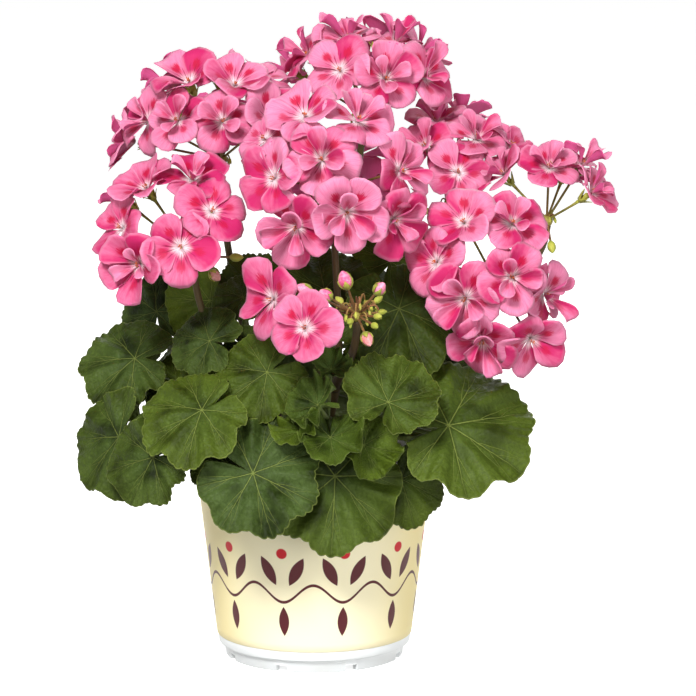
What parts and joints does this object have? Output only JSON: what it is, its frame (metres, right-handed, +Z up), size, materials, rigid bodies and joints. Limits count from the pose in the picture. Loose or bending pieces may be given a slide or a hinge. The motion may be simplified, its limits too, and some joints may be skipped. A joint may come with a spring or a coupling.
{
  "type": "potted zonal geranium",
  "caption": "Zonal geranium in bloom: round scalloped leaves below domed heads of five-petalled florets on long stalks, in a round tapered plastic grow pot.",
  "frame": {"origin": "centre of the pot's resting plane, on the flat pad in the middle of its floor", "axes": "+Z up, -Y towards the viewer of the picture, +X to the viewer's right"},
  "size_m": [0.2916, 0.2569, 0.3524],
  "materials": {
    "pot": "satin cream sleeve over a white moulded plastic pot",
    "soil": "dark moist potting mix",
    "stems": "soft green stems, brownish at the foot",
    "leaves": "matt downy green with paler veins and rim",
    "flower_stalks": "thin green to red-brown stalks with green calyces and buds",
    "petals": "soft pink with crimson blotches and a white throat"
  },
  "bodies": {
    "root": {"pot": "pot", "soil": "soil", "stems": "stems", "leaf_01": "leaves", "leaf_02": "leaves", "leaf_03": "leaves", "leaf_04": "leaves", "leaf_05": "leaves", "leaf_06": "leaves", "leaf_07": "leaves", "leaf_08": "leaves", "leaf_09": "leaves", "leaf_10": "leaves", "leaf_11": "leaves", "leaf_12": "leaves", "leaf_13": "leaves", "leaf_14": "leaves", "leaf_15": "leaves", "leaf_16": "leaves", "leaf_17": "leaves", "leaf_18": "leaves", "leaf_19": "leaves", "leaf_20": "leaves", "leaf_21": "leaves", "leaf_22": "leaves", "leaf_23": "leaves", "leaf_24": "leaves", "leaf_25": "leaves", "leaf_26": "leaves", "leaf_27": "leaves", "leaf_28": "leaves", "leaf_29": "leaves", "leaf_30": "leaves", "leaf_31": "leaves", "leaf_32": "leaves", "leaf_33": "leaves", "leaf_34": "leaves", "leaf_35": "leaves", "leaf_36": "leaves", "leaf_37": "leaves", "leaf_38": "leaves", "young_shoot": "leaves", "stalks_a": "flower_stalks", "florets_a": "petals", "stalks_b": "flower_stalks", "florets_b": "petals", "stalks_c": "flower_stalks", "florets_c": "petals", "stalks_d": "flower_stalks", "florets_d": "petals", "stalks_e": "flower_stalks", "florets_e": "petals", "stalks_f": "flower_stalks", "florets_f": "petals", "stalks_g": "flower_stalks", "florets_g": "petals", "stalks_h": "flower_stalks", "florets_h": "petals", "stalks_i": "flower_stalks", "florets_i": "petals"}
  },
  "joints": []
}
